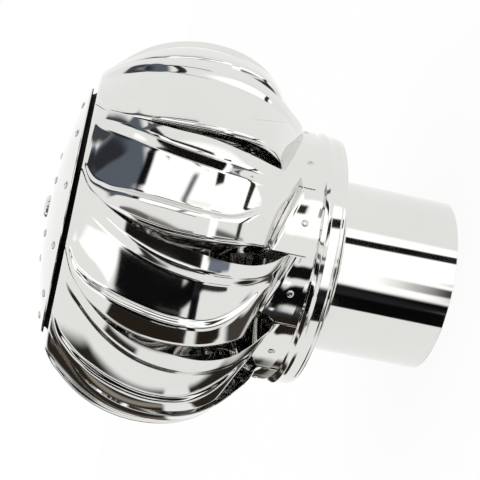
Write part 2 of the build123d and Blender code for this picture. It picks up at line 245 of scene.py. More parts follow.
def rounded(corners: Sequence[tuple[float, float, float]], steps: int = 5) -> Profile:
    """Round the corners of an open outline.

    Args:
        corners: radius from the axis, height, and fillet radius of each corner.
        steps: segments in each fillet.

    Returns:
        The outline's points.
    """
    points: Profile = []
    for index, (x, z, fillet) in enumerate(corners):
        here = Vector((x, z))
        if fillet <= 0 or index in (0, len(corners) - 1):
            points.append((x, z))
            continue
        back = Vector(corners[index - 1][:2]) - here
        ahead = Vector(corners[index + 1][:2]) - here
        half = back.angle(ahead) / 2
        room = min(back.length, ahead.length) * FILLET_SHARE
        cut = min(fillet / math.tan(half), room)
        start = here + back.normalized() * cut
        end = here + ahead.normalized() * cut
        for step in range(steps + 1):
            t = step / steps
            point = start * (1 - t) ** 2 + here * 2 * t * (1 - t) + end * t**2
            points.append((point.x, point.y))
    return points


def lathe_object(
    name: str, profile: Profile, material: Material, segments: int = 240
) -> bpy.types.Object:
    """Turn a closed outline about the axis.

    Args:
        name: the piece's name.
        profile: radius and height of the outline's points, anticlockwise seen from -Y with
            the axis on the left. A point on the axis closes the piece there.
        material: its finish.
        segments: steps round the axis.

    Returns:
        The new object.
    """
    points: list[tuple[float, float, float]] = []
    rings: list[list[int]] = []
    for radius, height in profile:
        count = 1 if radius < ON_AXIS else segments
        rings.append(list(range(len(points), len(points) + count)))
        for step in range(count):
            points.append((*on_circle(radius, step * 360.0 / segments), height))
    faces: Faces = []
    for low, high in zip(rings, rings[1:] + rings[:1]):
        if len(low) == 1 and len(high) == 1:
            continue
        for step in range(segments):
            after = (step + 1) % segments
            ends = [low[step % len(low)], low[after % len(low)]]
            ends += [high[after % len(high)], high[step % len(high)]]
            faces.append(tuple(dict.fromkeys(ends)))
    return new_object(name, np.array(points), faces, material)


def paint_shade_where(
    piece: bpy.types.Object, finish: Material, hidden: Callable[[Vector, Vector], bool]
) -> None:
    """Give the faces that the eye only meets through a gap a dark material: painted shade.

    Args:
        piece: the piece.
        finish: the dark material that paints the shade.
        hidden: tells from a face's centre in millimetres and its normal whether it is inside, where
            the shade is painted.
    """
    piece.data.materials.append(finish)
    for face in piece.data.polygons:
        if hidden(face.center / MM, face.normal):
            face.material_index = 1


def report(piece: bpy.types.Object) -> None:
    """Log a finished piece and its face count."""
    LOG.info("%s: %d faces", piece.name, len(piece.data.polygons))


# ---------------- finishes


class Grain(Enum):
    """How a steel surface was worked."""

    MIRROR = "mirror"
    MILL = "mill"
    TURNED = "turned"


# How close the lines of each grain stand along X, Y and Z, as shares of one over their spacing:
# buffing lines run up the sheet, mill lines along X and turning lines round the axis.
GRAIN_CLOSENESS = {
    Grain.MIRROR: (1.0, 1.0, 0.12),
    Grain.MILL: (0.1, 1.0, 1.0),
    Grain.TURNED: (0.05, 0.05, 1.0),
}
# Depth of those lines in millimetres: a mirror's are all but gone.
GRAIN_DEPTH = {Grain.MIRROR: 0.0004, Grain.MILL: 0.004, Grain.TURNED: 0.004}


@dataclass(frozen=True)
class StainlessSteel:
    """Stainless sheet or bar, from mirror buffing to plain mill finish."""

    name: str
    colour: str
    roughness: float
    grain: Grain = Grain.MIRROR
    wave_spacing: float = 45.0  # millimetres between the sheet's slow swells
    wave_depth: float = 0.05  # how far those swells stand
    line_spacing: float = 0.7  # grain lines, far coarser than the real ones so that they show
    smudge_spacing: float = 60.0  # handling marks
    smudge_edges: tuple[float, float] = (0.35, 0.75)  # pattern values of clean and smudged
    haze: tuple[float, float] = (0.7, 1.6)  # roughness of clean and smudged, as shares
    dulling: float = 0.93  # share of the colour left under a smudge

    def make(self) -> Material:
        """Build the material.

        Returns:
            A node material: bare metal whose sheen is broken by swells, lines and smudges.
        """
        material = bpy.data.materials.new(self.name)
        material.use_nodes = True
        material.node_tree.nodes.clear()
        add = partial(add_node, material.node_tree)
        colour = linear(self.colour)
        place = add("ShaderNodeTexCoord").outputs["Object"]
        smudge = add(
            "ShaderNodeTexNoise",
            {"Vector": place},
            {"Scale": 1 / (self.smudge_spacing * MM), "Detail": 4.0, "Roughness": 0.6},
        ).outputs["Fac"]
        clean, smudged = self.smudge_edges
        low, high = (self.roughness * share for share in self.haze)
        rough = add(
            "ShaderNodeMapRange",
            {"Value": smudge},
            {"From Min": clean, "From Max": smudged, "To Min": low, "To Max": high},
        ).outputs[0]
        tint = add(
            "ShaderNodeMix",
            {"Factor": smudge},
            {MIX_A: colour, MIX_B: (*(self.dulling * c for c in colour[:3]), 1.0)},
            data_type="RGBA",
        ).outputs[MIX_RESULT]
        swell = add(
            "ShaderNodeTexNoise",
            {"Vector": place},
            {"Scale": 1 / (self.wave_spacing * MM), "Detail": 1.0},
        ).outputs["Fac"]
        swells = add(
            "ShaderNodeBump", {"Height": swell}, {"Strength": 1.0, "Distance": self.wave_depth * MM}
        ).outputs[0]
        line_scale = 1 / (self.line_spacing * MM)
        stretched = add(
            "ShaderNodeVectorMath",
            {0: place},
            {1: tuple(line_scale * share for share in GRAIN_CLOSENESS[self.grain])},
            operation="MULTIPLY",
        ).outputs[0]
        lines = add(
            "ShaderNodeTexNoise", {"Vector": stretched}, {"Scale": 1.0, "Detail": 2.0}
        ).outputs["Fac"]
        relief = add(
            "ShaderNodeBump",
            {"Height": lines, "Normal": swells},
            {"Strength": 1.0, "Distance": GRAIN_DEPTH[self.grain] * MM},
        ).outputs[0]
        shader = add(
            "ShaderNodeBsdfPrincipled",
            {"Base Color": tint, "Roughness": rough, "Normal": relief},
            {"Metallic": 1.0},
        )
        add("ShaderNodeOutputMaterial", {"Surface": shader.outputs[0]})
        return material


# Buffed stainless sheet, pressed: a clear, faintly warm mirror whose images bend on slow swells.
BLADE_FINISH = StainlessSteel("mirror_steel_blade", "#DEDDDA", 0.05, wave_depth=0.3)
# The same sheet spun into a disc: a little cloudier from the tool.
CAP_FINISH = StainlessSteel("mirror_steel_cap", "#E2E1DE", 0.06, wave_depth=0.05)
# The spun ring and the rolled neck curve evenly, so their mirror images are straight and clean.
RING_FINISH = StainlessSteel("mirror_steel_ring", "#DEDDDA", 0.06, wave_depth=0.08)
NECK_FINISH = StainlessSteel("mirror_steel_neck", "#DEDDDA", 0.04, wave_depth=0.06)
# The sheets' inner side is left as rolled, so rougher; its dark colour is painted shade, since
# these faces get little light and are seen only through the gaps.
SHADE_PAINTED_FINISH = StainlessSteel("painted_shade_inner_side", "#57534E", 0.45, Grain.MILL)
# Drawn stainless rivets: bright, small and a little pitted heads.
RIVET_FINISH = StainlessSteel("bright_rivet_steel", "#CFCDC8", 0.10, wave_spacing=6.0)
# Flat bar as it comes from the mill: greyer and half matt, with long drawn lines.
STRAP_FINISH = StainlessSteel("mill_strap_steel", "#B4B2AE", 0.32, Grain.MILL)
# Turned bar and nuts: satin, with fine rings round the axis.
TURNED_FINISH = StainlessSteel("turned_bar_steel", "#BDBBB7", 0.22, Grain.TURNED)
# Ground bearing steel: smooth and a touch bluer than the rest.
RACE_FINISH = StainlessSteel("ground_race_steel", "#AEAFB0", 0.15, Grain.TURNED)


# ---------------- blades


@dataclass(frozen=True)
class BladeLevel:
    """Where a blade's pressed lines stand at one height, in degrees round the axis."""

    height: float
    radius: float
    free_edge: float
    shoulder: float  # where the step down to the panel starts
    panel_start: float
    panel_end: float
    margin: float  # where the step back up ends
    bend: float  # where the sheet turns in to the lip
    panel_depth: float  # millimetres
    lip_length: float  # millimetres


@dataclass
class BladeSet:
    """The twelve pressed blades of the rotor."""

    thickness: float = 0.6
    foot_radius: float = 109.0
    foot_height: float = 130.3
    foot_slant: float = 7.0  # degrees that the foot's lower edge leans
    foot_top: float = 142.6
    foot_rows: tuple[float, float] = (127.0, 135.0)  # heights that the foot tab is drawn through
    fold_rise: float = 22.0  # how far the foot fold climbs from the free edge to the lip
    fold_reach: float = 190.0  # height where that climb has died away
    crease: float = 1.1  # half length of the curve between two straight runs
    bend_radius: float = 4.5
    bend_turn: float = 62.0  # degrees that the lip turns inwards
    belly_foot: float = 150.0  # height where the blade's springing starts
    belly_length: float = 160.0  # height that the springing covers
    edge_play: float = 0.5  # degrees that a free edge may stand off its place
    swell_play: float = 0.5  # millimetres that a middle may be sprung inwards
    tab_drop: float = 0.6  # the tab with painted shade starts this far under the last level
    tab_step: float = 3.0  # and this far inside it
    rows: int = 110
    strips: tuple[int, ...] = (6, 7, 12, 6, 6)  # mesh strips between neighbouring pressed lines
    bend_steps: int = 7
    lip_steps: int = 6
    seed: int = 7

    levels: tuple[BladeLevel, ...] = (
        BladeLevel(142.6, 109.0, 0.3, -4.0, -7.0, -9.5, -11.0, -28.7, 0.0, 0.5),
        BladeLevel(150.0, 122.5, 0.3, -4.0, -7.0, -9.5, -11.0, -28.7, 0.2, 2.5),
        BladeLevel(161.0, 135.2, -2.6, -6.6, -8.9, -10.6, -12.0, -28.4, 1.0, 8.0),
        BladeLevel(175.0, 147.2, -4.3, -8.3, -10.4, -16.0, -17.4, -28.0, 3.0, 13.0),
        BladeLevel(196.0, 158.5, -4.7, -8.9, -11.2, -21.4, -22.6, -28.6, 4.0, 18.0),
        BladeLevel(228.0, 163.65, -3.4, -8.2, -10.9, -22.7, -23.8, -29.2, 4.0, 20.0),
        BladeLevel(258.0, 159.6, -2.0, -6.0, -8.9, -21.8, -22.9, -28.8, 4.0, 19.0),
        BladeLevel(282.0, 149.6, 1.2, -2.4, -5.4, -20.8, -21.9, -26.9, 4.0, 15.0),
        BladeLevel(300.0, 136.4, 5.8, 2.2, -1.2, -19.4, -20.5, -23.6, 3.0, 10.0),
        BladeLevel(311.0, 126.0, 10.4, 6.0, 2.4, -16.0, -17.0, -18.6, 1.8, 5.0),
        BladeLevel(316.6, 118.0, 15.6, 9.2, 6.2, -10.4, -11.6, -13.2, 0.1, 2.6),
    )
    # Radius and height of the head tab, from the globe's shoulder in under the disc.
    head_tab: tuple[tuple[float, float], ...] = (
        (110.0, 316.7), (102.5, 316.9), (98.0, 323.1), (84.0, 326.6)
    )

    def meridian(self) -> tuple[Grid, Grid]:
        """Lay out the blade's length in even steps.

        Returns:
            Radius and height at each row.
        """
        radius = [self.foot_radius] * 2 + [level.radius for level in self.levels]
        height = [*self.foot_rows] + [level.height for level in self.levels]
        radius += [point[0] for point in self.head_tab]
        height += [point[1] for point in self.head_tab]
        steps = np.hypot(np.diff(radius), np.diff(height))
        length = np.concatenate([[0.0], np.cumsum(steps)])
        at = np.linspace(0.0, length[-1], self.rows)
        return through(length, radius, at), through(length, height, at)

    def line(self, name: str, height: Grid) -> Grid:
        """Read one of the levels' fields at each height."""
        stations = [level.height for level in self.levels]
        return through(stations, [getattr(level, name) for level in self.levels], height)

    def depth(self, arc: Grid, corners: Sequence[tuple[Grid, Grid]]) -> Grid:
        """Work out the pressing across the rows: straight runs joined by small creases.

        Args:
            arc: distance of each corner from the free edge.
            corners: distance of each crease and the slope that it adds.

        Returns:
            Depth under the blade's outer line.
        """
        total = np.zeros_like(arc)
        for where, change in corners:
            run = arc - where
            crease = self.crease
            bent = np.where(run > crease, run, (run + crease) ** 2 / (4 * crease))
            total += change * np.where(run < -crease, 0.0, bent)
        return total

    def foot_fold(self, angle: Grid, z: Grid) -> Grid:
        """Lean the foot's lower edge and let its fold climb towards the lip.

        Args:
            angle: each corner's angle round the axis in radians.
            z: its height before.

        Returns:
            Its height after.
        """
        foot = self.levels[0]
        middle = math.radians((foot.free_edge + foot.bend) / 2)
        lean = math.tan(math.radians(self.foot_slant))
        edge = self.foot_height - lean * self.foot_radius * (angle - middle)
        below = z < self.foot_top
        lowest = z[0:1]
        up_tab = np.clip((z - lowest) / (self.foot_top - lowest), 0.0, 1.0)
        z = np.where(below, edge + up_tab * (self.foot_top - edge), z)
        across = (foot.free_edge - np.degrees(angle)) / (foot.free_edge - foot.bend)
        fade = np.clip((self.fold_reach - z) / (self.fold_reach - self.foot_top), 0.0, 1.0)
        climb = self.fold_rise * np.clip(across, 0.0, 1.0)
        return z + climb * np.where(below, up_tab, fade**2)

    def pressed_strips(self, arcs: Sequence[Grid], height: Grid) -> tuple[Grid, Grid]:
        """Lay the strips between the pressed lines and sink the panel.

        Args:
            arcs: distance of each pressed line from the free edge, row by row.
            height: height of each row.

        Returns:
            Distance from the free edge and depth at each corner.
        """
        _, shoulder, panel_start, panel_end, margin, _ = arcs
        deep = self.line("panel_depth", height)
        rise_in = deep / (panel_start - shoulder)
        rise_out = deep / (margin - panel_end)
        corners = (
            (shoulder[:, None], rise_in[:, None]),
            (panel_start[:, None], -rise_in[:, None]),
            (panel_end[:, None], -rise_out[:, None]),
            (margin[:, None], rise_out[:, None]),
        )
        columns = []
        for start, end, count in zip(arcs[:-1], arcs[1:], self.strips):
            ease = (1 - np.cos(np.linspace(0, math.pi, count + 1))) / 2
            columns.append(start[:, None] + (end - start)[:, None] * ease[None, :-1])
        flat = np.hstack(columns)
        return flat, self.depth(flat, corners)

    def bend_and_lip(self, start: Grid, height: Grid) -> tuple[Grid, Grid]:
        """Turn the sheet inwards and run the lip straight on.

        Args:
            start: distance of the bend from the free edge, row by row.
            height: height of each row.

        Returns:
            Distance from the free edge and depth at each corner.
        """
        lip = self.line("lip_length", height)
        longest = max(level.lip_length for level in self.levels)
        turn = math.radians(self.bend_turn)
        theta = np.linspace(0, turn, self.bend_steps + 1)[None, :]
        bend = self.bend_radius * (lip / longest)[:, None]
        bend_arc = start[:, None] + bend * np.sin(theta)
        bend_depth = bend * (1 - np.cos(theta))
        reach = np.linspace(0, 1, self.lip_steps + 1)[None, 1:] * lip[:, None]
        lip_arc = bend_arc[:, -1:] + reach * math.cos(turn)
        lip_depth = bend_depth[:, -1:] + reach * math.sin(turn)
        return np.hstack([bend_arc, lip_arc]), np.hstack([bend_depth, lip_depth])

    def surface(self, edge_shift: float, swell: float) -> Grid:
        """Work out the outer face.

        Args:
            edge_shift: degrees that this blade's free edge stands off its nominal place.
            swell: millimetres that its middle is sprung outwards, or inwards below zero.

        Returns:
            Rows by columns by 3 corner positions.
        """
        radius, height = self.meridian()
        tangent = np.stack([np.gradient(radius), np.gradient(height)], 1)
        tangent /= np.linalg.norm(tangent, axis=1, keepdims=True)
        belly = np.clip((height - self.belly_foot) / self.belly_length, 0.0, 1.0)
        free = self.line("free_edge", height) + edge_shift * np.sin(np.pi * belly)
        lines = [free]
        for name in ("shoulder", "panel_start", "panel_end", "margin", "bend"):
            lines.append(self.line(name, height))
        arcs = [np.radians(free - angle) * radius for angle in lines]
        flat, sunk = self.pressed_strips(arcs, height)
        turned, turned_depth = self.bend_and_lip(arcs[-1], height)
        arc, depth = np.hstack([flat, turned]), np.hstack([sunk, turned_depth])
        depth -= swell * np.sin(np.pi * belly)[:, None]
        angle = np.radians(free)[:, None] - arc / radius[:, None]
        r = radius[:, None] - depth * tangent[:, 1:2]
        z = self.foot_fold(angle, height[:, None] + depth * tangent[:, 0:1])
        return np.stack([r * np.sin(angle), -r * np.cos(angle), z], axis=2)

    def build(self, finish: Material, inner: Material) -> None:
        """Press, fit and dress all twelve blades.

        Args:
            finish: the sheet's mirror.
            inner: the dark material that paints shade on the head tabs under the disc.
        """
        draw = random.Random(self.seed)
        tab_height = self.levels[-1].height - self.tab_drop
        tab_radius = self.levels[-1].radius - self.tab_step
        for index in range(BLADE_COUNT):
            edge_shift = draw.uniform(-self.edge_play, self.edge_play)
            face = self.surface(edge_shift, draw.uniform(-self.swell_play, 0.0))
            turn = np.array(Matrix.Rotation(math.radians(index * PITCH), 3, "Z"))
            blade = sheet_object(
                f"pressed_blade_{index + 1:02d}", face @ turn.T, self.thickness, finish
            )
            # The head tabs in under the disc get the dark material as painted shade.
            paint_shade_where(
                blade, inner, lambda at, _: at.z > tab_height and math.hypot(*at.xy) < tab_radius
            )
            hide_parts(f"blade_{index + 1:02d}")
            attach(blade, "rotor")
            report(blade)


# ---------------- turned shells


@dataclass
class CapDisc:
    """The domed disc that closes the top of the rotor."""

    radius: float = 105.5
    rim_height: float = 322.8
    crown: float = 338.0
    hole: float = 5.0
    sheet: float = 0.7
    hem: float = 1.1  # radius of the rolled rim
    hem_start: float = -170.0  # degrees where the roll leaves the inner face
    hem_sweep: float = 240.0  # degrees that it turns
    hem_steps: int = 11
    underside: float = -0.3  # faces whose normal points further down than this get painted shade
    steps: int = 24

    def sphere(self) -> float:
        """Radius of the sphere that the dome is part of."""
        rise = self.crown - self.rim_height
        return (self.radius**2 + rise**2) / (2 * rise)

    def height(self, radius: float) -> float:
        """Height of the outer face at a distance from the axis."""
        sphere = self.sphere()
        return self.crown - sphere + math.sqrt(sphere**2 - radius**2)

    def build(self, finish: Material, inner: Material) -> None:
        """Spin the disc with its rolled rim.

        Args:
            finish: the upper face's mirror.
            inner: the dark material that paints shade on the underside.
        """
        inner_rim = self.radius - self.hem
        profile: Profile = []
        for step in range(self.steps + 1):
            radius = self.hole + (inner_rim - self.hole) * step / self.steps
            profile.append((radius, self.height(radius) - self.sheet))
        centre = self.height(inner_rim) - self.hem
        for step in range(1, self.hem_steps + 1):
            angle = math.radians(self.hem_start + self.hem_sweep * step / self.hem_steps)
            profile.append(
                (inner_rim + self.hem * math.cos(angle), centre + self.hem * math.sin(angle))
            )
        for step in range(self.steps + 1):
            radius = inner_rim - (inner_rim - self.hole) * step / self.steps
            profile.append((radius, self.height(radius)))
        disc = lathe_object("domed_cap_disc", profile, finish)
        # The underside and the hem's lower half get the dark material as painted shade.
        paint_shade_where(disc, inner, lambda _, out: out.z < self.underside)
        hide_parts("cap_disc")
        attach(disc, "rotor")
        report(disc)


@dataclass
class LowerRing:
    """The spun ring that ties the blades' feet together."""

    radius: float = 108.2
    skirt: float = 109.4
    foot: float = 106.4
    top: float = 147.0
    bead: float = 121.5
    bead_rise: float = 1.4
    sheet: float = 0.7

    def build(self, finish: Material) -> None:
        """Spin the ring with its bead and rolled foot.

        Args:
            finish: the sheet's mirror.
        """
        crest = self.skirt + self.bead_rise
        outer = rounded(
            (
                # The hem, rolled inwards at the foot.
                (self.skirt - 4.4, self.foot + 3.4, 0),
                (self.skirt - 4.6, self.foot + 0.2, 1.4),
                (self.skirt - 1.0, self.foot + 0.1, 1.4),
                (self.skirt - 0.9, self.foot + 2.8, 0.8),
                (self.skirt - 0.2, self.foot + 4.0, 1.0),
                # The bead that stiffens the skirt.
                (self.skirt, self.bead - 3.6, 2.0),
                (crest, self.bead, 2.2),
                (self.skirt, self.bead + 3.2, 2.0),
                # The plain band that the blades' feet are riveted to.
                (self.radius, self.bead + 4.8, 1.0),
                (self.radius, self.top, 0),
            )
        )
        bore, skirt_bore = self.radius - self.sheet, self.skirt - self.sheet
        inner = rounded(
            (
                (bore, self.top, 0),
                (bore, self.bead + 4.6, 0.8),
                (skirt_bore, self.bead + 3.0, 1.0),
                (crest - self.sheet, self.bead, 1.8),
                (skirt_bore, self.bead - 3.4, 1.6),
                (skirt_bore - 0.2, self.foot + 5.0, 0.8),
            )
        )
        ring = lathe_object("spun_lower_ring", outer + inner, finish)
        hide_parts("lower_ring")
        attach(ring, "rotor")
        report(ring)


@dataclass
class Neck:
    """The fixed neck: plain pipe, stop bead and flared mouth."""

    radius: float = 75.0
    wall: float = 0.8
    deburr: float = 0.15  # how far the cut end's edges are broken
    bead: float = 98.0
    bead_rise: float = 1.0
    bead_half: float = 1.2  # half the bead's width
    straight: float = 110.0  # height where the flare starts
    flare: float = 100.0
    lip: float = 4.0  # height of the straight lip above the flare
    top: float = 129.0

    def build(self, finish: Material) -> None:
        """Roll the neck.

        Args:
            finish: the sheet's mirror.
        """
        inner = self.radius - self.wall
        flare_bore = self.flare - self.wall
        outline = rounded(
            (
                # The square cut end.
                (inner, 0.0, 0),
                (inner + self.deburr, 0.0, 0.1),
                (self.radius - self.deburr, 0.0, 0.1),
                (self.radius, 0.25, 0.2),
                # The stop bead.
                (self.radius, self.bead - self.bead_half, 0.6),
                (self.radius + self.bead_rise, self.bead, 0.8),
                (self.radius, self.bead + self.bead_half, 0.6),
                # The flare and its lip, out and back.
                (self.radius, self.straight, 3.0),
                (self.flare, self.top - self.lip, 2.0),
                (self.flare, self.top, 0.2),
                (flare_bore, self.top, 0.2),
                (flare_bore, self.top - self.lip + 0.4, 2.0),
                (inner, self.straight + 0.4, 3.0),
                (inner, 0.2, 0),
            )
        )
        pipe = lathe_object("rolled_neck_pipe", outline, finish)
        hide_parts("neck_pipe")
        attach(pipe, "neck")
        report(pipe)


# ---------------- fasteners


@dataclass
class PopRivets:
    """One ring of pop rivets, joined as one piece."""

    name: str
    node: str
    count: int
    first_angle: float
    seat: Seat
    grip: float = 2.2  # length of shank under the head
    head: float = 3.3
    head_height: float = 1.2
    shank: float = 2.0
    pole: float = 0.01  # radius that closes an outline's ends on the rivet's own axis
    sides: int = 28

    def outline(self) -> Profile:
        """Draw half of one rivet: a domed head with the broken mandrel's pit.

        Returns:
            Distance from the rivet's axis and height over its seat.
        """
        return [
            (0.0, -self.grip),
            (self.shank, -self.grip),
            (self.shank, 0.0),
            (self.head, 0.0),
            (self.head, 0.18),
            (self.head * 0.93, 0.45),
            (self.head * 0.78, 0.82),
            (self.head * 0.6, 1.08),
            (self.head * 0.42, self.head_height),
            (self.head * 0.34, self.head_height * 0.97),
            (self.head * 0.3, 0.6),
            (0.0, 0.5),
        ]

    def build(self, finish: Material, body: str) -> None:
        """Set every rivet square to its seat.

        Args:
            finish: the heads' steel.
            body: the body that carries them.
        """
        points: list[Vector] = []
        faces: Faces = []
        outline = self.outline()
        for index in range(self.count):
            place, out = self.seat(self.first_angle + index * 360.0 / self.count)
            side = out.orthogonal().normalized()
            up = out.cross(side)
            first = len(points)
            for radius, height in outline:
                for step in range(self.sides):
                    turn = 2 * math.pi * step / self.sides
                    spoke = side * math.cos(turn) + up * math.sin(turn)
                    points.append(place + spoke * max(radius, self.pole) + out * height)
            for ring in range(len(outline) - 1):
                for step in range(self.sides):
                    after = (step + 1) % self.sides
                    low = first + ring * self.sides
                    high = low + self.sides
                    faces.append((low + step, low + after, high + after, high + step))
            last = first + (len(outline) - 1) * self.sides
            faces.append(tuple(range(first + self.sides - 1, first - 1, -1)))
            faces.append(tuple(range(last, last + self.sides)))
        group = new_object(self.name, np.array([tuple(p) for p in points]), faces, finish)
        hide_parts(self.node)
        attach(group, body)
        report(group)


def wall_seat(radius: float, height: float) -> Seat:
    """Find seats on an upright wall round the axis.

    Args:
        radius: the wall's outer radius.
        height: the height of the seats.

    Returns:
        Function from an angle to a seat's place and outward direction.
    """

    def seat(angle: float) -> tuple[Vector, Vector]:
        """Place and outward direction at one angle."""
        out = Vector((*on_circle(1.0, angle), 0.0))
        return out * radius + Vector((0, 0, height)), out

    return seat


def dome_seat(cap: CapDisc, radius: float) -> Seat:
    """Find seats on the domed disc.

    Args:
        cap: the disc.
        radius: distance of the seats from the axis.

    Returns:
        Function from an angle to a seat's place and outward direction.
    """
    centre = Vector((0, 0, cap.crown - cap.sphere()))

    def seat(angle: float) -> tuple[Vector, Vector]:
        """Place and outward direction at one angle."""
        place = Vector((*on_circle(radius, angle), cap.height(radius)))
        return place, (place - centre).normalized()

    return seat


@dataclass
class HubPlug:
    """The small domed plug in the middle of the disc."""

    brim: float = 9.5
    brim_height: float = 1.3
    stem: float = 5.0
    tail: float = 3.0  # how far the stem reaches down through the disc
    shoulder: float = 7.4
    shoulder_height: float = 3.0
    rise: float = 3.9
    pit_mouth: float = 2.4
    pit: float = 2.2
    pit_height: float = 2.6  # height of the pit's floor
    segments: int = 64

    def build(self, cap: CapDisc, finish: Material) -> None:
        """Turn the plug, seated on the disc.

        Args:
            cap: the disc that it sits in.
            finish: the disc's mirror.
        """
        base = cap.height(self.stem)
        outline = rounded(
            (
                (0.0, base - self.tail, 0),
                (self.stem, base - self.tail, 0.3),
                (self.stem, base, 0.1),
                (self.brim, base, 0.2),
                (self.brim, base + self.brim_height, 0.5),
                (self.shoulder, base + self.shoulder_height, 1.5),
                (self.pit_mouth, base + self.rise, 0.4),
                (self.pit, base + self.pit_height, 0.2),
                (0.0, base + self.pit_height, 0),
            )
        )
        plug = lathe_object("domed_hub_plug", outline, finish, self.segments)
        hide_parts("hub_cap")
        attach(plug, "rotor")
        report(plug)


# ---------------- carried frame nodes


@dataclass
class CarriedNodes:
    """Nodes of the frame whose shape is kept and only dressed."""

    straps: tuple[str, ...] = ("upper_strap", "lower_strap", "bearing_hub")
    turned: tuple[str, ...] = (
        "axle", "axle_nuts", "axle_washers", "axle_circlip", "hub_circlip", "race_spacer"
    )
    races: tuple[str, ...] = (
        "upper_inner_race", "upper_outer_race", "lower_inner_race", "lower_outer_race"
    )

    def dress(self) -> None:
        """Give each carried node its finish."""
        for names, finish in (
            (self.straps, STRAP_FINISH.make()),
            (self.turned, TURNED_FINISH.make()),
            (self.races, RACE_FINISH.make()),
        ):
            for name in names:
                piece = bpy.data.objects[name]
                for slot in piece.material_slots:
                    slot.material = finish
                report(piece)


# ---------------- studio


@dataclass(frozen=True)
class Panel:
    """A light tent panel or black flag, by direction: degrees from the camera side and up."""

    azimuth: float
    half_width: float
    elevation: float
    half_height: float
    colour: str
    level: float = 1.0
    fade: float = 2.0  # degrees over which its edges fade
    lean: float = 0.0  # degrees of azimuth gained per degree of elevation
    tilt: float = 0.0  # degrees of elevation gained per degree of azimuth
    end_fade: float = 0.0  # the same for the upper and lower ends, when it is their own


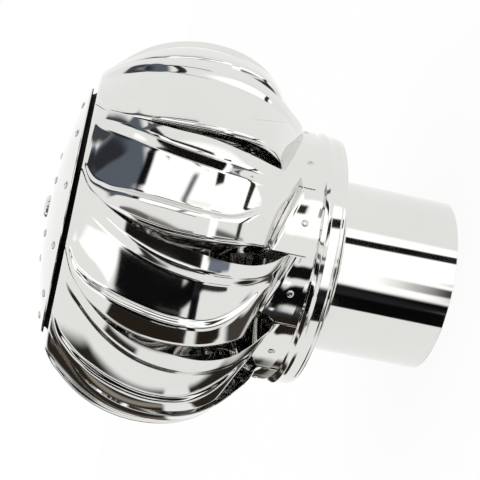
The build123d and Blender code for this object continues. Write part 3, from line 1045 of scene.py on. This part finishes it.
@dataclass
class Studio:
    """White tent with flags for the steel to mirror, a pale floor and the camera."""

    distance: float = 1.0150  # metres from the axis to the camera
    eye_height: float = 0.3169  # metres
    pitch: float = -8.15
    yaw: float = -0.29
    roll: float = 78.2
    lens: float = 88.6
    sensor: float = 36.0
    floor_colour: str = "#F2F2F0"
    floor_half: float = 4.0  # metres from the floor's middle to its edges
    floor_glow: float = 0.9  # share of plain white that the camera sees in it
    lamp_place: tuple[float, float, float] = (-0.3, -0.6, 2.0)  # metres
    lamp_lean: tuple[float, float] = (18.0, -8.0)  # degrees about X and Y
    lamp_size: float = 1.6  # metres
    lamp_power: float = 6.0  # watts
    # What the steel mirrors, each laid over those before it.
    panels: tuple[Panel, ...] = (
        # Bright card and grey flags in the panels of the blades on the lit side.
        Panel(-37, 17, -8, 52, CARD_WHITE, CARD_LEVEL, fade=4, tilt=0.25),
        Panel(-62, 32, 57, 15, "#636A76", fade=5),
        Panel(-78, 12, 62, 8, "#33343B", fade=6),
        Panel(-106, 13, 54, 5, "#4A4C52", fade=4),
        Panel(-42, 13, 41, 3.2, "#121318", fade=3, tilt=0.27),
        Panel(-27, 9, 5, 2.2, "#70747C", fade=4, tilt=0.45),
        Panel(-25, 32, -48, 2.4, "#2E2C2A", fade=1.5, tilt=0.1),
        # Thin dark lines along the step bands, and the warm greys between them.
        Panel(-60, 5, 31, 7, "#2A2825", lean=-1.67),
        Panel(-47, 4.5, 9, 18, "#33312F", fade=3, lean=-0.19),
        Panel(-20.7, 1.3, 39, 7, "#3A3835", fade=1.5, lean=-0.46),
        Panel(-16.7, 1.3, 22, 10, "#3A3835", fade=1.5, lean=-0.075),
        Panel(-14.2, 1.3, 3.5, 8.5, "#3A3835", fade=1.5, lean=-0.2),
        Panel(-8.5, 2.5, 46.5, 14.5, "#6E6861", lean=-0.24),
        Panel(-2.5, 2.5, 19.5, 12.5, "#8A857E", lean=-0.2),
        Panel(0, 2.5, 1, 6, "#8A857E"),
        # Black flag with a white slit in the panels of the blades on the shaded side.
        Panel(36, 17, 62, 13, CARD_WHITE, CARD_LEVEL, fade=4),
        Panel(9.5, 6, 8, 43, "#141210", fade=3, lean=-0.12),
        Panel(36, 15, 20, 28, "#0C0C0D", fade=4, tilt=-0.2),
        Panel(33, 11, -12, 10, "#0C0C0D", fade=5, tilt=1.1),
        Panel(20.7, 1.8, 21.5, 30, CARD_WHITE, CARD_LEVEL, fade=1, lean=-0.06),
        Panel(54, 5, 13, 28.5, "#30333A", fade=3),
        Panel(62.5, 9.5, 13, 28.5, "#2A231C", fade=3),
        Panel(-69, 2.2, 25, 20, "#5A5E66", lean=-0.15),
        # Brown dusk far round on the shaded side, with two pale battens.
        Panel(134, 26, -5, 42, "#2E2923", fade=10),
        Panel(122, 2.5, 0, 28, "#9A9288", fade=3, lean=0.1),
        Panel(143, 3, 5, 25, "#6E665C", fade=3, lean=-0.1),
        Panel(115, 50, -60, 8, "#4A453E", fade=8),
        Panel(47.5, 1, 1, 9, CARD_WHITE, level=1.3, fade=1),
        Panel(79.5, 4.5, 24.5, 12.5, "#2B2724", fade=4),
        # A low band that only the neck mirrors whole: card, black flag and tent.
        Panel(-6, 26, -19, 3.3, CARD_WHITE, CARD_LEVEL, fade=5, end_fade=1.5),
        Panel(40, 13, -19, 3.2, "#26272A", fade=11, lean=-1.5, end_fade=1.5),
        Panel(45, 9.5, -19, 3.2, "#0A0A0B", fade=4, end_fade=1.5),
        Panel(63, 9.5, -19, 3.3, TENT_WHITE, TENT_LEVEL, fade=1.5),
        Panel(126, 54, -17, 6, TENT_WHITE, TENT_LEVEL),
        Panel(-38.2, 4.5, -19, 3.2, "#141210", lean=0.57, end_fade=1),
        # Darker things below, for the lower ring and the blades' feet.
        Panel(62.5, 9.5, -34, 11, "#2A231C", fade=4),
        Panel(-5, 2, -38, 16, "#6A6762", fade=3),
        Panel(6.5, 5.5, -38, 18, "#3A342E", fade=4),
        Panel(15, 4, -33, 11, "#7E8592", fade=4),
        Panel(31.5, 2, -35, 12, "#2A2826", lean=-0.2),
    )

    def build_world(self) -> None:
        """White to the camera, even to matt things, and the tent's pattern to the steel."""
        world = bpy.data.worlds.new("studio_tent")
        bpy.context.scene.world = world
        world.use_nodes = True
        world.node_tree.nodes.clear()
        add = partial(add_node, world.node_tree)
        direction = add("ShaderNodeTexCoord").outputs["Generated"]
        parts = add("ShaderNodeSeparateXYZ", {0: direction}).outputs
        back_x = add("ShaderNodeMath", {0: parts[0]}, {1: -1.0}, operation="MULTIPLY").outputs[0]
        back_y = add("ShaderNodeMath", {0: parts[1]}, {1: -1.0}, operation="MULTIPLY").outputs[0]
        azimuth = add("ShaderNodeMath", {0: back_x, 1: back_y}, operation="ARCTAN2").outputs[0]
        elevation = add("ShaderNodeMath", {0: parts[2]}, operation="ARCSINE").outputs[0]
        colour = add("ShaderNodeRGB").outputs[0]
        colour.default_value = lit(TENT_WHITE, TENT_LEVEL)
        for panel in self.panels:
            colour = self.add_panel(add, panel, azimuth, elevation, colour)
        rays = add("ShaderNodeLightPath").outputs
        seen = add(
            "ShaderNodeMix",
            {"Factor": rays["Is Glossy Ray"], MIX_B: colour},
            {MIX_A: (1.0, 1.0, 1.0, 1.0)},
            data_type="RGBA",
        ).outputs[MIX_RESULT]
        background = add("ShaderNodeBackground", {"Color": seen}, {"Strength": 1.0})
        add("ShaderNodeOutputWorld", {"Surface": background.outputs[0]})

    def add_panel(
        self,
        add: Callable[..., bpy.types.Node],
        panel: Panel,
        azimuth: Socket,
        elevation: Socket,
        colour: Socket,
    ) -> Socket:
        """Lay one panel over the tent.

        Args:
            add: adds a node to the world.
            panel: where it hangs and its colour.
            azimuth: socket with the direction's azimuth in radians.
            elevation: socket with its elevation in radians.
            colour: what is behind the panel.

        Returns:
            Socket with the colour after the panel is laid over it.
        """
        sides = (panel.lean, panel.azimuth, panel.elevation, panel.half_width, panel.fade)
        end_fade = panel.end_fade or panel.fade
        ends = (panel.tilt, panel.elevation, panel.azimuth, panel.half_height, end_fade)
        masks = []
        for here, other, (slope, middle, pivot, half, fade) in (
            (azimuth, elevation, sides),
            (elevation, azimuth, ends),
        ):
            reach, soft = math.radians(half), math.radians(fade) / 2
            centre = add(
                "ShaderNodeMath",
                {0: other},
                {1: slope, 2: math.radians(middle - slope * pivot)},
                operation="MULTIPLY_ADD",
            ).outputs[0]
            away = add("ShaderNodeMath", {0: here, 1: centre}, operation="SUBTRACT").outputs[0]
            size = add("ShaderNodeMath", {0: away}, operation="ABSOLUTE").outputs[0]
            mask = add(
                "ShaderNodeMapRange",
                {"Value": size},
                {"From Min": reach - soft, "From Max": reach + soft, "To Min": 1.0, "To Max": 0.0},
                interpolation_type="SMOOTHSTEP",
            )
            masks.append(mask.outputs[0])
        both = add("ShaderNodeMath", {0: masks[0], 1: masks[1]}, operation="MULTIPLY").outputs[0]
        return add(
            "ShaderNodeMix",
            {"Factor": both, MIX_A: colour},
            {MIX_B: lit(panel.colour, panel.level)},
            data_type="RGBA",
        ).outputs[MIX_RESULT]

    def build_floor(self) -> None:
        """Lay a pale floor that keeps the shadow but leaves the steel's mirror to the tent."""
        half = self.floor_half
        mesh = bpy.data.meshes.new("studio_floor")
        corners = [(-half, -half, 0), (half, -half, 0), (half, half, 0), (-half, half, 0)]
        mesh.from_pydata(corners, [], [(0, 1, 2, 3)])
        floor = bpy.data.objects.new("studio_floor", mesh)
        bpy.context.scene.collection.objects.link(floor)
        material = bpy.data.materials.new("pale_floor")
        material.use_nodes = True
        material.node_tree.nodes.clear()
        add = partial(add_node, material.node_tree)
        matt = add("ShaderNodeBsdfDiffuse", {}, {"Color": linear(self.floor_colour)}).outputs[0]
        glow = add("ShaderNodeEmission", {}, {"Strength": 1.0}).outputs[0]
        seen = add("ShaderNodeLightPath").outputs["Is Camera Ray"]
        share = add(
            "ShaderNodeMath", {0: seen}, {1: self.floor_glow}, operation="MULTIPLY"
        ).outputs[0]
        mixed = add("ShaderNodeMixShader", {0: share, 1: matt, 2: glow}).outputs[0]
        add("ShaderNodeOutputMaterial", {"Surface": mixed})
        mesh.materials.append(material)
        floor.visible_glossy = False

    def build_lamp(self) -> None:
        """Hang one broad soft lamp, hidden from the steel's mirror."""
        data = bpy.data.lights.new("overhead_softbox", "AREA")
        data.shape = "SQUARE"
        data.size = self.lamp_size
        data.energy = self.lamp_power
        lamp = bpy.data.objects.new("overhead_softbox", data)
        lamp.location = self.lamp_place
        lamp.rotation_euler = (*(math.radians(angle) for angle in self.lamp_lean), 0.0)
        lamp.visible_glossy = False
        bpy.context.scene.collection.objects.link(lamp)

    def build_camera(self) -> None:
        """Stand the camera level with the disc, rolled so that the neck points right."""
        right, up, ahead = Vector((1, 0, 0)), Vector((0, 0, 1)), Vector((0, 1, 0))
        up, ahead = swung(up, ahead, self.pitch)
        right, ahead = swung(right, ahead, -self.yaw)
        right, up = swung(right, up, self.roll)
        data = bpy.data.cameras.new("camera")
        data.sensor_width = self.sensor
        data.lens = self.lens
        camera = bpy.data.objects.new("camera", data)
        turn = Matrix((right, up, -ahead)).transposed().to_4x4()
        camera.matrix_world = Matrix.Translation((0, -self.distance, self.eye_height)) @ turn
        bpy.context.scene.collection.objects.link(camera)
        bpy.context.scene.camera = camera

    def build(self) -> None:
        """Set the studio up."""
        bpy.context.scene.view_settings.view_transform = "Standard"
        self.build_world()
        self.build_floor()
        self.build_lamp()
        self.build_camera()


def main() -> None:
    """Build the sub-assemblies in order, then the studio."""
    logging.basicConfig(level=logging.INFO, format="%(name)s %(message)s")
    rivet_steel = RIVET_FINISH.make()
    cap_steel = CAP_FINISH.make()
    # Dark steel for the faces in under the disc: painted shade.
    painted_shade_steel = SHADE_PAINTED_FINISH.make()
    cap = CapDisc()
    BladeSet().build(BLADE_FINISH.make(), painted_shade_steel)
    cap.build(cap_steel, painted_shade_steel)
    HubPlug().build(cap, cap_steel)
    LowerRing().build(RING_FINISH.make())
    Neck().build(NECK_FINISH.make())
    ring_seat = wall_seat(radius=109.0, height=139.0)
    outer_seat, hub_seat = dome_seat(cap, radius=92.0), dome_seat(cap, radius=44.0)
    for rivets in (
        PopRivets("ring_pop_rivets", "ring_rivets", BLADE_COUNT, -15.2, ring_seat),
        PopRivets("disc_pop_rivets", "cap_rivets", BLADE_COUNT, 11.8, outer_seat),
        PopRivets("hub_pop_rivets", "hub_rivets", 6, 30.0, hub_seat, grip=3.2),
    ):
        rivets.build(rivet_steel, "rotor")
    CarriedNodes().dress()
    Studio().build()


if __name__ == "__main__":
    main()
